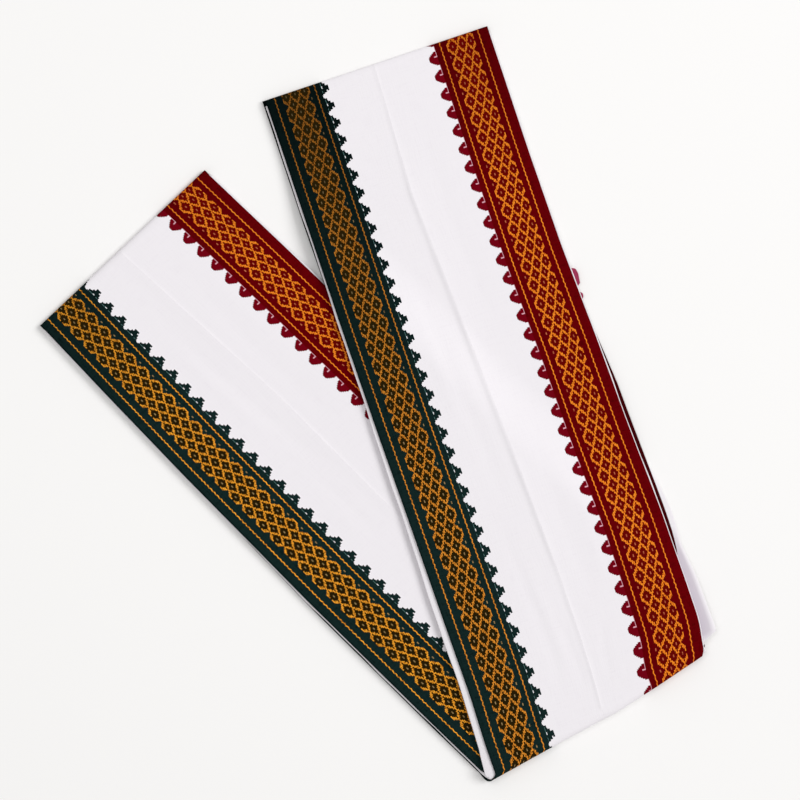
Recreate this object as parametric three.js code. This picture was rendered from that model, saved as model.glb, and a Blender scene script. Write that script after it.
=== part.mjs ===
// Angavastram: a white cotton stole with a dark green border along one selvedge and a maroon one
// along the other, both figured in gold thread. It is box-folded lengthwise into a strip, doubled,
// and laid flat with one diagonal fold, so that an upper leg lies across a lower leg in a V.
//
// Frame: millimetres, +Z up, the surface it lies on at Z = 0, the origin under the middle of the
// outline. "Left" is the green side of a leg and "right" the maroon side, seen from above.
// "along" runs from 0 at the diagonal fold to 1 at a leg's far end.

import * as THREE from 'three';

// ---- Driving sizes ----------------------------------------------------------------------------

const BORDER_WIDTH = 48;      // woven border, selvedge to the middle of its temple teeth
const PANEL = 1.0;            // one cotton panel, with the air that lies in it
const GAP = 0.3;              // clearance between neighbouring pieces
const HIDDEN_PILE = 2.6;      // the folded layers between a leg's face panels and its back panels
const LIP = 1.2;              // thickness of one hidden fold where it shows at a leg's edge
const LIP_GROOVE = 2.5;       // depth of the groove between two hidden folds
const LEFT_SLIP = 0.8;        // reach of the lower fold on the left, as a share of the upper one's
const RAMP = 42;              // run over which the upper leg comes down beside the lower leg
const RAMP_CLEAR = 13;        // level start of that run, past the lower leg's edge
const CREASE_RISE = 0.9;      // how far the maroon half's folded edge stands up along the centre
const CREASE_SPREAD = 14;     // width over which that rise dies away
const CREASE_FADE = 0.06;     // share of a leg over which the rise begins
const END_ROUND = 3.5;        // length of the soft fold at a leg's far end
const STEP_ALONG = 25;        // spacing of the sections along a leg
const BORDER_COLUMNS = 3;     // points across a border, less one
const FIELD_COLUMNS = 3;      // across one side of the white field
const INSIDE_COLUMNS = 10;    // across the tight inner turn of the diagonal fold
const TURN_STEPS = 10;        // sections round the diagonal fold
const END_STEPS = 4;          // sections round a far end
const LIP_STEPS = 4;          // facets round a hidden fold

const LEG_HEIGHT = 2 * PANEL + HIDDEN_PILE + 2 * GAP;
const LIFT = LEG_HEIGHT + GAP;            // what the upper leg rests on where it crosses
const PILE_HEIGHT = LIFT + LEG_HEIGHT;    // the whole height at the crossing

// ---- The two legs -----------------------------------------------------------------------------
// The corners are those of a leg's face. The rows bend its edges and say how far each layer under
// the face reaches beyond it, in millimetres:
//   leftBow, rightBow    shift of the face's edges towards the right
//   crease               place of the centre crease, as a share of the width
//   leftFold, rightFold  reach of the white fold under the face
//   rightSlip            reach of the lower white fold on the right
//   leftBack, rightBack  reach of the back panels

const point = (x, y) => new THREE.Vector2(x, y);

const UPPER_LEG = {
  name: 'upper',
  foldLeft: point(90.0, -283.0),
  foldRight: point(249.6, -186.9),
  endLeft: point(-86.5, 233.1),
  endRight: point(84.2, 290.4),
  creaseFrom: 0,              // where the crease starts to stand up
  extraStops: [0.004, 0.010],
  rows: [
    { along: 0.00, leftBow: 0.0, rightBow: 0.0, crease: 0.510, leftFold: 8.0, rightFold: 0.8 },
    { along: 0.02, leftBow: -0.2, rightBow: 2.4, crease: 0.511, leftFold: 6.8, rightFold: 0.8 },
    { along: 0.04, leftBow: -0.3, rightBow: 4.0, crease: 0.511, leftFold: 5.6, rightFold: 0.8 },
    { along: 0.11, leftBow: 0.9, rightBow: 4.4, crease: 0.512, leftFold: 5.6, rightFold: 0.8 },
    { along: 0.21, leftBow: 0.3, rightBow: 4.6, crease: 0.513, leftFold: 5.3, rightFold: 0.8 },
    { along: 0.36, leftBow: -0.2, rightBow: 2.1, crease: 0.510, leftFold: 4.0, rightFold: 0.9 },
    { along: 0.50, leftBow: -1.0, rightBow: 1.0, crease: 0.500, leftFold: 2.8, rightFold: 0.9 },
    { along: 0.65, leftBow: -1.2, rightBow: -1.2, crease: 0.490, leftFold: 1.6, rightFold: 1.0 },
    { along: 0.80, leftBow: -0.7, rightBow: -1.2, crease: 0.468, leftFold: 1.4, rightFold: 1.0 },
    { along: 1.00, leftBow: 0.0, rightBow: 0.0, crease: 0.489, leftFold: 1.4, rightFold: 1.0 },
  ],
  underRows: [
    { along: 0.000, rightSlip: 0.8, leftBack: 6.0, rightBack: 0.4 },
    { along: 0.004, rightSlip: 1.0, leftBack: 5.8, rightBack: 0.4 },
    { along: 0.010, rightSlip: 12.9, leftBack: 5.5, rightBack: 0.4 },
    { along: 0.04, rightSlip: 10.4, leftBack: 4.0, rightBack: 0.4 },
    { along: 0.11, rightSlip: 9.0, leftBack: 4.0, rightBack: 0.4 },
    { along: 0.15, rightSlip: 7.0, leftBack: 4.0, rightBack: 0.4 },
    { along: 0.21, rightSlip: 8.0, leftBack: 4.0, rightBack: 1.4 },
    { along: 0.27, rightSlip: 4.5, leftBack: 3.5, rightBack: 2.7 },
    { along: 0.36, rightSlip: 1.2, leftBack: 2.5, rightBack: 2.7 },
    { along: 0.50, rightSlip: 1.0, leftBack: 1.5, rightBack: 1.2 },
    { along: 0.65, rightSlip: 1.0, leftBack: 1.2, rightBack: 0.4 },
    { along: 0.80, rightSlip: 1.0, leftBack: 2.4, rightBack: 0.4 },
    { along: 1.00, rightSlip: 1.0, leftBack: 2.4, rightBack: 0.4 },
  ],
};

const LOWER_LEG = {
  name: 'lower',
  foldLeft: point(79.4, -282.8),
  foldRight: point(248.1, -188.4),
  endLeft: point(-259.6, 60.1),
  endRight: point(-133.5, 179.3),
  creaseFrom: 0.46,           // the upper leg presses it flat nearer the fold
  extraStops: [],
  rows: [
    { along: 0.00, leftBow: 0.0, rightBow: 0.0, crease: 0.510, leftFold: 1.2, rightFold: 1.0 },
    { along: 0.11, leftBow: -1.4, rightBow: 0.0, crease: 0.512, leftFold: 1.2, rightFold: 1.0 },
    { along: 0.38, leftBow: -3.2, rightBow: 0.4, crease: 0.520, leftFold: 1.2, rightFold: 1.0 },
    { along: 0.67, leftBow: -2.9, rightBow: 0.9, crease: 0.523, leftFold: 1.0, rightFold: 1.0 },
    { along: 0.85, leftBow: -1.6, rightBow: 0.6, crease: 0.500, leftFold: 1.0, rightFold: 1.0 },
    { along: 1.00, leftBow: 0.0, rightBow: 0.0, crease: 0.478, leftFold: 1.0, rightFold: 1.0 },
  ],
  underRows: [
    { along: 0.00, rightSlip: 1.0, leftBack: 2.4, rightBack: 0.4 },
    { along: 0.38, rightSlip: 1.0, leftBack: 2.2, rightBack: 0.4 },
    { along: 0.67, rightSlip: 1.0, leftBack: 0.6, rightBack: 0.4 },
    { along: 1.00, rightSlip: 1.0, leftBack: 0.6, rightBack: 0.4 },
  ],
};

// How far the diagonal fold swells past the line where the legs begin, across its length.
const FOLD_SWELL = [
  { across: 0.00, reach: 7.5 },
  { across: 0.30, reach: 9.0 },
  { across: 0.50, reach: 10.3 },
  { across: 0.56, reach: 11.0 },
  { across: 0.76, reach: 9.4 },
  { across: 1.00, reach: 6.5 },
];

// ---- Colours ----------------------------------------------------------------------------------

const COTTON = { color: 0xece9ef, roughness: 0.9, metalness: 0 };
const GREEN = { color: 0x0b2b29, roughness: 0.75, metalness: 0 };
const MAROON = { color: 0x640010, roughness: 0.75, metalness: 0 };

// ---- Reading the tables -----------------------------------------------------------------------

function reading(rows, key, name, place) {
  const next = Math.max(rows.findIndex((row) => row[key] >= Math.min(place, 1)), 1);
  const [before, after] = [rows[next - 1], rows[next]];
  return THREE.MathUtils.mapLinear(place, before[key], after[key], before[name], after[name]);
}

// The straight line across a leg at one place along it, with the layers' reaches there.
function crossLine(leg, along) {
  const face = (name) => reading(leg.rows, 'along', name, along);
  const under = (name) => reading(leg.underRows, 'along', name, along);
  const left = leg.foldLeft.clone().lerp(leg.endLeft, along);
  const right = leg.foldRight.clone().lerp(leg.endRight, along);
  const across = right.clone().sub(left).normalize();
  left.addScaledVector(across, face('leftBow'));
  right.addScaledVector(across, face('rightBow'));
  const width = left.distanceTo(right);
  return {
    left,
    across,
    width,
    crease: width * face('crease'),
    leftFold: face('leftFold'),
    rightFold: face('rightFold'),
    rightSlip: under('rightSlip'),
    leftBack: under('leftBack'),
    rightBack: under('rightBack'),
  };
}

const legLength = (leg) => leg.foldLeft.distanceTo(leg.endLeft);
const placeOn = (line, across) => line.left.clone().addScaledVector(line.across, across);

// Height of what a leg lies on: the surface for the lower leg. For the upper leg it is the lower
// leg, and a soft slope down to the surface past that leg's edge. What reaches past a face's own
// edges lies level with them.
const lowerEdge = LOWER_LEG.endRight.clone().sub(LOWER_LEG.foldRight).normalize();

function restHeight(leg, line, across) {
  if (leg !== UPPER_LEG) {
    return 0;
  }
  const place = placeOn(line, THREE.MathUtils.clamp(across, 0, line.width));
  const beyond = -lowerEdge.cross(place.clone().sub(LOWER_LEG.foldRight)) - RAMP_CLEAR;
  return LIFT * (1 - THREE.MathUtils.smoothstep(beyond, 0, RAMP));
}

const evenly = (from, to, count) =>
  Array.from({ length: count + 1 }, (_, i) => THREE.MathUtils.lerp(from, to, i / count));

// ---- Closed bodies from grids and rings -------------------------------------------------------

function meshOf(name, finish, points, faces) {
  let volume = 0;
  for (const [a, b, c] of faces) {
    volume += points[a].dot(points[b].clone().cross(points[c]));
  }
  const outward = volume > 0 ? faces : faces.map(([a, b, c]) => [a, c, b]);
  const coordinates = points.flatMap((corner) => corner.toArray());
  const geometry = new THREE.BufferGeometry();
  geometry.setAttribute('position', new THREE.Float32BufferAttribute(coordinates, 3));
  geometry.setIndex(outward.flat());
  geometry.computeVertexNormals();
  const mesh = new THREE.Mesh(geometry, new THREE.MeshStandardMaterial(finish));
  mesh.name = name;
  return mesh;
}

// A wall between an outer and an inner grid of points, closed along its four edges.
function wall(name, finish, outer, inner) {
  const rows = outer.length;
  const columns = outer[0].length;
  const points = [...outer.flat(), ...inner.flat()];
  const at = (side, i, j) => side * rows * columns + i * columns + j;
  const faces = [];
  const quad = (a, b, c, d) => faces.push([a, b, c], [a, c, d]);
  const [endRow, endColumn] = [rows - 1, columns - 1];
  for (let i = 0; i < endRow; i++) {
    for (let j = 0; j < endColumn; j++) {
      quad(at(0, i, j), at(0, i + 1, j), at(0, i + 1, j + 1), at(0, i, j + 1));
      quad(at(1, i, j), at(1, i, j + 1), at(1, i + 1, j + 1), at(1, i + 1, j));
    }
    quad(at(0, i, 0), at(1, i, 0), at(1, i + 1, 0), at(0, i + 1, 0));
    quad(at(0, i, endColumn), at(0, i + 1, endColumn), at(1, i + 1, endColumn), at(1, i, endColumn));
  }
  for (let j = 0; j < endColumn; j++) {
    quad(at(0, 0, j), at(0, 0, j + 1), at(1, 0, j + 1), at(1, 0, j));
    quad(at(0, endRow, j), at(1, endRow, j), at(1, endRow, j + 1), at(0, endRow, j + 1));
  }
  return meshOf(name, finish, points, faces);
}

// A solid through a row of rings, closed by flat caps. "flat" is a ring laid out in a plane.
function ringSolid(name, finish, ringList, flat) {
  const size = flat.length;
  const last = (ringList.length - 1) * size;
  const faces = [];
  for (let start = 0; start < last; start += size) {
    for (let j = 0; j < size; j++) {
      const next = (j + 1) % size;
      const [a, b] = [start + j, start + next];
      if (flat[next].x > flat[j].x) {
        faces.push([a, b, b + size], [a, b + size, a + size]);
      } else {
        faces.push([a, b, a + size], [b, b + size, a + size]);
      }
    }
  }
  const turn = Math.sign(THREE.ShapeUtils.area(flat));
  for (const corners of THREE.ShapeUtils.triangulateShape(flat, [])) {
    const sameTurn = Math.sign(THREE.ShapeUtils.area(corners.map((k) => flat[k]))) === turn;
    const [a, b, c] = sameTurn ? corners : [...corners].reverse();
    faces.push([c, b, a], [last + a, last + b, last + c]);
  }
  return meshOf(name, finish, ringList.flat(), faces);
}

// ---- Panels -----------------------------------------------------------------------------------
// A strip is one stretch of a panel across its width: the green border, the white field up to the
// centre crease, the field past it, and the maroon border.

const STRIPS = [
  {
    name: 'green_border',
    finish: GREEN,
    columns: BORDER_COLUMNS,
    span: () => [0, BORDER_WIDTH],
  },
  {
    name: 'green_side_field',
    finish: COTTON,
    columns: FIELD_COLUMNS,
    span: (line) => [BORDER_WIDTH + GAP, line.crease - GAP / 2],
  },
  {
    name: 'maroon_side_field',
    finish: COTTON,
    columns: FIELD_COLUMNS,
    span: (line) => [line.crease + GAP / 2, line.width - BORDER_WIDTH - GAP],
  },
  {
    name: 'maroon_border',
    finish: MAROON,
    columns: BORDER_COLUMNS,
    span: (line) => [line.width - BORDER_WIDTH, line.width],
  },
];

// Places across a strip. All layers share them, so that they follow each other over the slope.
const faceColumns = (strip, line) => evenly(...strip.span(line), strip.columns);

// The back panels reach a little past the face on both sides.
function backColumns(strip, line) {
  const columns = faceColumns(strip, line);
  if (strip === STRIPS.at(0)) {
    return [-line.leftBack, ...columns];
  }
  return strip === STRIPS.at(-1) ? [...columns, line.width + line.rightBack] : columns;
}

// The maroon half's folded edge stands a little above the green half's along the crease.
function creaseRise(leg, line, along, across) {
  if (across < line.crease) {
    return 0;
  }
  const away = (across - line.crease) / CREASE_SPREAD;
  const begun = THREE.MathUtils.smoothstep(along, leg.creaseFrom, leg.creaseFrom + CREASE_FADE);
  return CREASE_RISE * Math.exp(-away * away) * begun;
}

// Stops along a leg: flat stretches, then the quarter round of the far end. "bend" is its angle.
function stops(leg) {
  const length = legLength(leg);
  const flatEnd = 1 - END_ROUND / length;
  const count = Math.round(length / STEP_ALONG);
  const places = [...evenly(GAP / length, flatEnd, count), ...leg.extraStops].sort((a, b) => a - b);
  const bends = evenly(0, Math.PI / 2, END_STEPS).slice(1);
  const flat = places.map((along) => ({ along, bend: 0 }));
  return [...flat, ...bends.map((bend) => ({ along: flatEnd, bend }))];
}

// One surface of a panel. "depth" is how far it lies under the panel's outer surface, and "up" is
// 1 for a face panel and -1 for a back panel.
function panelSurface(leg, columns, depth, up) {
  const length = legLength(leg);
  const middle = (LEG_HEIGHT + up * GAP) / 2;
  const halfHeight = (LEG_HEIGHT - GAP) / 2 - depth;
  return stops(leg).map(({ along, bend }) => {
    const round = bend > 0 ? (END_ROUND - depth) * Math.sin(bend) / length : 0;
    const line = crossLine(leg, along + round);
    return columns(line).map((across) => {
      const place = placeOn(line, across);
      const rise = up > 0 ? creaseRise(leg, line, along, across) * Math.cos(bend) : 0;
      const height = middle + up * halfHeight * Math.cos(bend) + rise;
      return new THREE.Vector3(place.x, place.y, restHeight(leg, line, across) + height);
    });
  });
}

function panel(leg, strip, side) {
  const up = side === 'face' ? 1 : -1;
  const columns = (line) => (up > 0 ? faceColumns(strip, line) : backColumns(strip, line));
  const outer = panelSurface(leg, columns, 0, up);
  const inner = panelSurface(leg, columns, PANEL, up);
  return wall(`${leg.name}_${side}_${strip.name}`, strip.finish, outer, inner);
}

// ---- Hidden layers ----------------------------------------------------------------------------

// Half a round lip at one side of the pile, from its top to its bottom. "toward" is -1 at the left.
function lip(edge, toward, bottom) {
  const radius = LIP / 2;
  const centre = edge - toward * radius;
  return evenly(0, Math.PI, LIP_STEPS).map((angle) =>
    point(centre + toward * radius * Math.sin(angle), bottom + radius + radius * Math.cos(angle)));
}

// The pile's outline across a leg, with two folds and a groove between them at each side.
function pileOutline(line) {
  const upperLip = HIDDEN_PILE - LIP;
  const right = line.width;
  const leftSlip = line.leftFold * LEFT_SLIP;
  const spread = STRIPS.flatMap((strip) => faceColumns(strip, line));
  return [
    ...spread.map((across) => point(across, HIDDEN_PILE)),
    ...lip(right + line.rightFold, 1, upperLip),
    point(right - LIP_GROOVE, HIDDEN_PILE / 2),
    ...lip(right + line.rightSlip, 1, 0),
    ...spread.reverse().map((across) => point(across, 0)),
    ...lip(-leftSlip, -1, 0).reverse(),
    point(LIP_GROOVE - leftSlip, HIDDEN_PILE / 2),
    ...lip(-line.leftFold, -1, upperLip).reverse(),
  ];
}

function pile(leg) {
  const flatStops = stops(leg).filter(({ bend }) => bend === 0);
  const ringList = flatStops.map(({ along }) => {
    const line = crossLine(leg, along);
    return pileOutline(line).map((corner) => {
      const place = placeOn(line, corner.x);
      const height = restHeight(leg, line, corner.x) + PANEL + GAP + corner.y;
      return new THREE.Vector3(place.x, place.y, height);
    });
  });
  return ringSolid(`${leg.name}_hidden_layers`, COTTON, ringList, pileOutline(crossLine(leg, 0)));
}

// ---- The diagonal fold ------------------------------------------------------------------------

const foldOut = (() => {
  const run = UPPER_LEG.foldRight.clone().sub(UPPER_LEG.foldLeft).normalize();
  return point(run.y, -run.x);
})();

const upperStart = crossLine(UPPER_LEG, 0);
const lowerStart = crossLine(LOWER_LEG, 0);

// The line across the strip at an angle round the fold: 0 on top and PI underneath.
function turnLine(angle) {
  const share = (1 - Math.cos(angle)) / 2;
  const mix = (name) => THREE.MathUtils.lerp(upperStart[name], lowerStart[name], share);
  return {
    angle,
    left: upperStart.left.clone().lerp(lowerStart.left, share),
    across: upperStart.across.clone().lerp(lowerStart.across, share),
    width: mix('width'),
    crease: mix('crease'),
    leftFold: mix('leftFold'),
    rightFold: mix('rightFold'),
    rightSlip: mix('rightSlip'),
    leftBack: THREE.MathUtils.lerp(GAP, lowerStart.leftBack, share),
    rightBack: THREE.MathUtils.lerp(GAP, lowerStart.rightBack, share),
  };
}

// A point round the fold. "radius" is its height above or below the middle, on top or underneath.
function turnPoint(line, across, radius) {
  const share = THREE.MathUtils.clamp(across / line.width, 0, 1);
  const swell = reading(FOLD_SWELL, 'across', 'reach', share);
  const out = (swell - PILE_HEIGHT / 2 + radius) * Math.sin(line.angle);
  const place = placeOn(line, across).addScaledVector(foldOut, out);
  return new THREE.Vector3(place.x, place.y, PILE_HEIGHT / 2 + radius * Math.cos(line.angle));
}

const turnLines = evenly(0, Math.PI, TURN_STEPS).map(turnLine);

function turnedStrip(strip) {
  const surface = (radius) => turnLines.map((line) =>
    backColumns(strip, line).map((across) => turnPoint(line, across, radius)));
  const radius = PILE_HEIGHT / 2;
  return wall(`fold_outer_${strip.name}`, strip.finish, surface(radius), surface(radius - PANEL));
}

// The hidden layers round the fold, and the two inner panels that turn tightly inside them.
function turnedPile() {
  const innerRadius = PANEL + 1.5 * GAP;
  const ringList = turnLines.map((line) =>
    pileOutline(line).map((corner) => turnPoint(line, corner.x, innerRadius + corner.y)));
  return ringSolid('fold_hidden_layers', COTTON, ringList, pileOutline(turnLines[0]));
}

function turnedInside() {
  const surface = (radius) => turnLines.map((line) =>
    evenly(0, line.width, INSIDE_COLUMNS).map((across) => turnPoint(line, across, radius)));
  return wall('fold_inner_panels', COTTON, surface(PANEL + GAP / 2), surface(GAP / 2));
}

// ---- The whole --------------------------------------------------------------------------------

const angavastram = new THREE.Group();
for (const leg of [LOWER_LEG, UPPER_LEG]) {
  for (const strip of STRIPS) {
    angavastram.add(panel(leg, strip, 'back'));
    angavastram.add(panel(leg, strip, 'face'));
  }
  angavastram.add(pile(leg));
}
for (const strip of STRIPS) {
  angavastram.add(turnedStrip(strip));
}
angavastram.add(turnedPile());
angavastram.add(turnedInside());

export default angavastram;
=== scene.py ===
"""Looks of an angavastram: a white cotton stole with a green and a maroon temple border.

The stole is box-folded lengthwise, doubled, and laid flat in a V with one diagonal fold. Each
half of a leg, from its selvedge to the centre crease, is one sheet, woven here row by row and
then laid on the form that the model gives it. Lengths are in millimetres until a mesh is made.
"""

import math

import bmesh
import bpy
import numpy as np
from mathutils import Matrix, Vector


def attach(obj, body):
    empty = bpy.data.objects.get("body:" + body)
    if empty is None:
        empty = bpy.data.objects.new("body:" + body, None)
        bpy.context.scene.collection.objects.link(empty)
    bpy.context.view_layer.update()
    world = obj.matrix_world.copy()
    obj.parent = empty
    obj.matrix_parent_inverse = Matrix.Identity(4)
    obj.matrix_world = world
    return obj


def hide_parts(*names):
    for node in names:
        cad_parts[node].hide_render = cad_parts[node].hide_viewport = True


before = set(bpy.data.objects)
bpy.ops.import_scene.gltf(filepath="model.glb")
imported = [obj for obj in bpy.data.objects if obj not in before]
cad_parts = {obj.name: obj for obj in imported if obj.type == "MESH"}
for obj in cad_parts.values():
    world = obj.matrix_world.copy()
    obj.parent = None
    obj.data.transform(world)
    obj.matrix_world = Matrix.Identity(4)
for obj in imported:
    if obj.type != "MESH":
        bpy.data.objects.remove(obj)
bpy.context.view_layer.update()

MM = 0.001

# ---- The folded stole ---------------------------------------------------------------------------

PANEL = 1.0              # a face or back panel, with the air that lies in it
GAP = 0.3
HIDDEN_PILE = 2.6        # the folded layers between a leg's face and its back
LIP = 1.2                # one hidden fold where it shows at an edge
LIP_GROOVE = 9.0
LEFT_SLIP = 0.8          # reach of the lower fold on the left, as a share of the upper one's
LEG_HEIGHT = 2 * PANEL + HIDDEN_PILE + 2 * GAP
LIFT = LEG_HEIGHT + GAP
MIDDLE = (LIFT + LEG_HEIGHT) / 2     # half the height of the crossing, where the fold turns
RAMP = 42                # run over which the upper leg comes down beside the lower one
RAMP_CLEAR = 13
END_RUN = 5.0            # length of the soft fold at a leg's far end
OUTER_TURN = 23.0        # cloth that the diagonal fold takes up, outside
INNER_TURN = 8.0         # and inside
SELVEDGE_DROP = 0.8      # how far a selvedge bends down over the fold under it
REACH_ROUND = {"green": -2.4, "maroon": -3.2}   # sideways spread of the turning cloth's edges
REACH_BELOW = {"green": -2.4, "maroon": 0.4}    # and where they meet the back
CREASE_ROLL = 0.8        # radius of a half's folded edge at the centre crease
CREASE_BEND = 0.12       # angle at which a folded edge goes down
CREASE_GAP = 0.003       # half the air between them
CREASE_UNEVEN = 0.25     # how much the centre ridge swells and sinks along a leg, as a share
STEP_RUN = 1.5           # run over which the step at the centre ridge dies away
CREASE_WANDER = 1.6      # how far a soft crease strays from its straight line
SELVEDGE_LEAN = 0.15     # how far a selvedge leans outwards as it bends down
FLAP_SLOPE = 0.2         # slope of the cloth past a half's folded edge


def table(columns, rows):
    """Named columns of numbers, one row for each place along a leg."""
    return dict(zip(columns.split(), np.array(rows, float).T))


# "along" runs from 0 at the diagonal fold to 1 at the far end. Bows shift the face's edges to the
# right, and crease is the centre crease's share of the width.
UPPER_EDGES = table("along left_bow right_bow crease left_fold right_fold", [
    (0.00, 0.0, 0.0, 0.510, 8.0, 0.8),
    (0.02, -0.2, 2.4, 0.511, 6.8, 0.8),
    (0.04, -0.3, 4.0, 0.511, 5.6, 0.8),
    (0.11, 0.9, 4.4, 0.512, 5.6, 0.8),
    (0.21, 0.3, 4.6, 0.513, 5.3, 0.8),
    (0.36, -0.2, 2.1, 0.510, 4.0, 0.9),
    (0.50, -1.0, 1.0, 0.500, 2.8, 0.9),
    (0.65, -1.2, -1.2, 0.490, 1.6, 1.0),
    (0.80, -0.7, -1.2, 0.468, 1.4, 1.0),
    (1.00, 0.0, 0.0, 0.489, 1.4, 1.0),
])
UPPER_UNDER = table("along right_slip left_back right_back", [
    (0.000, 0.8, 6.0, -1.6),
    (0.004, 1.0, 5.8, -1.6),
    (0.010, 12.9, 5.5, -1.4),
    (0.04, 10.4, 4.0, 0.4),
    (0.11, 9.0, 4.0, 0.4),
    (0.15, 7.0, 4.0, 0.4),
    (0.21, 8.0, 4.0, 1.4),
    (0.27, 4.5, 3.5, 2.7),
    (0.36, 1.2, 2.5, 2.7),
    (0.50, 1.0, 1.5, 1.2),
    (0.65, 1.0, 1.2, 0.4),
    (0.80, 1.0, 2.4, 0.4),
    (1.00, 1.0, 2.4, 0.4),
])
LOWER_EDGES = table("along left_bow right_bow crease left_fold right_fold", [
    (0.00, 0.0, 0.0, 0.510, 1.2, 1.0),
    (0.11, -1.4, 0.0, 0.512, 1.2, 1.0),
    (0.38, -3.2, 0.4, 0.520, 1.2, 1.0),
    (0.67, -2.9, 0.9, 0.523, 1.0, 1.0),
    (0.85, -1.6, 0.6, 0.500, 1.0, 1.0),
    (1.00, 0.0, 0.0, 0.478, 1.0, 1.0),
])
LOWER_UNDER = table("along right_slip left_back right_back", [
    (0.00, 1.0, 2.4, 0.4),
    (0.38, 1.0, 2.2, 0.4),
    (0.67, 1.0, 0.6, 0.4),
    (1.00, 1.0, 0.6, 0.4),
])

# The centre crease: the two folded edges press up into a soft ridge, steeper on the green side, and
# the maroon edge stands a little above the green one.
UPPER_CREASE = table("along ridge green_run maroon_run step", [
    (0.00, 0.26, 1.5, 1.0, 0.03),
    (0.15, 0.40, 1.9, 1.8, 0.03),
    (0.28, 0.70, 2.4, 6.0, 0.03),
    (0.45, 1.05, 2.9, 9.0, 0.03),
    (0.70, 1.00, 2.8, 9.0, 0.03),
    (0.82, 0.55, 2.2, 5.0, 0.03),
    (0.89, 0.28, 1.6, 1.6, 0.03),
    (1.00, 0.24, 1.6, 1.0, 0.03),
])
LOWER_CREASE = table("along ridge green_run maroon_run step", [
    (0.00, 0.38, 3.5, 2.4, 0.02),
    (0.38, 0.34, 5.0, 1.4, 0.02),
    (0.60, 0.32, 6.0, 1.1, 0.02),
    (1.00, 0.28, 6.0, 1.1, 0.02),
])

# How far the diagonal fold swells past the line where the legs begin, across its length.
FOLD_SWELL = table("across reach", [
    (0.00, 7.5),
    (0.30, 9.0),
    (0.50, 10.3),
    (0.56, 11.0),
    (0.76, 9.4),
    (1.00, 6.5),
])

# Soft creases in a face. Places are shares: "along" from the fold to the far end, and
# "across" from the left edge to the right. A rise below nought is a trough.
UPPER_CREASES = table("along across to_along to_across rise spread", [
    (0.02, 0.37, 0.34, 0.36, -0.32, 3.0),
    (0.05, 0.41, 0.25, 0.41, 0.25, 2.5),
    (0.02, 0.46, 0.16, 0.47, -0.22, 3.5),
    (0.30, 0.40, 0.72, 0.37, -0.26, 4.5),
    (0.44, 0.33, 0.70, 0.32, 0.18, 3.5),
    (0.55, 0.62, 0.96, 0.58, -0.20, 5.0),
    (0.10, 0.62, 0.48, 0.61, -0.24, 5.5),
    (0.16, 0.70, 0.33, 0.69, 0.20, 3.0),
    (0.03, 0.58, 0.13, 0.62, -0.25, 3.0),
    (0.62, 0.12, 0.90, 0.10, -0.15, 6.0),
    (0.12, 0.90, 0.40, 0.89, 0.22, 5.0),
    (0.20, 0.12, 0.45, 0.11, 0.20, 6.0),
])
LOWER_CREASES = table("along across to_along to_across rise spread", [
    (0.50, 0.44, 0.93, 0.40, -0.26, 4.0),
    (0.62, 0.36, 0.86, 0.35, 0.20, 3.0),
    (0.55, 0.62, 0.97, 0.60, -0.22, 5.0),
    (0.70, 0.70, 0.92, 0.68, 0.16, 3.5),
    (0.40, 0.39, 0.58, 0.41, -0.25, 3.5),
    (0.60, 0.10, 0.92, 0.12, 0.18, 6.0),
    (0.76, 0.90, 0.98, 0.88, -0.16, 5.0),
])


def read(columns, name, place):
    """A column at a place along a leg, with its corners eased."""
    key = "along" if "along" in columns else "across"
    steps = (-0.012, -0.004, 0.004, 0.012)
    return sum(np.interp(place + step, columns[key], columns[name]) for step in steps) / len(steps)


def unit(vector):
    return vector / np.linalg.norm(vector, axis=-1, keepdims=True)


def dot(first, second):
    return (first * second).sum(axis=-1)


def smoothstep(value, start, end):
    share = np.clip((value - start) / (end - start), 0, 1)
    return share * share * (3 - 2 * share)


class Leg:
    """One leg of the V. A place on it is its depth from the far end and its distance across."""

    def __init__(self, corners, edges, under, centre, creases):
        self.fold_left, self.fold_right, self.end_left, self.end_right = np.array(corners, float)
        self.edges, self.under, self.centre, self.creases = edges, under, centre, creases
        self.weft = unit(self.end_right - self.end_left)
        self.warp = np.array((self.weft[1], -self.weft[0]))
        self.length = np.linalg.norm(self.fold_left - self.end_left)
        self.fold_run = unit(self.fold_right - self.fold_left)
        self.fold_out = np.array((self.fold_run[1], -self.fold_run[0]))
        self.drift = dot(self.warp, self.fold_run) / dot(self.warp, self.fold_out)
        self.along = np.linspace(-0.25, 1, 251)[::-1]
        left, crease, right = self.lines(self.along)
        self.guides = {name: self.on_leg(points) for name, points in
                       (("left", left), ("crease", crease), ("right", right))}

    def lines(self, along):
        """The left edge, the crease and the right edge, on slanted lines across the leg."""
        share = np.asarray(along)[:, None]
        left = self.fold_left + (self.end_left - self.fold_left) * share
        right = self.fold_right + (self.end_right - self.fold_right) * share
        across = unit(right - left)
        left = left + across * read(self.edges, "left_bow", along)[:, None]
        right = right + across * read(self.edges, "right_bow", along)[:, None]
        crease = left + (right - left) * read(self.edges, "crease", along)[:, None]
        return left, crease, right

    def on_leg(self, points):
        """Depth from the far end, and distance across, of points on the table."""
        offset = points - self.end_left
        return dot(offset, self.warp), dot(offset, self.weft)

    def guide(self, name, depth):
        return np.interp(depth, *self.guides[name])

    def along_at(self, depth):
        return np.interp(depth, self.guides["crease"][0], self.along)

    def place(self, depth, across):
        return self.end_left + self.warp * depth[:, None] + self.weft * across[:, None]


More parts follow.
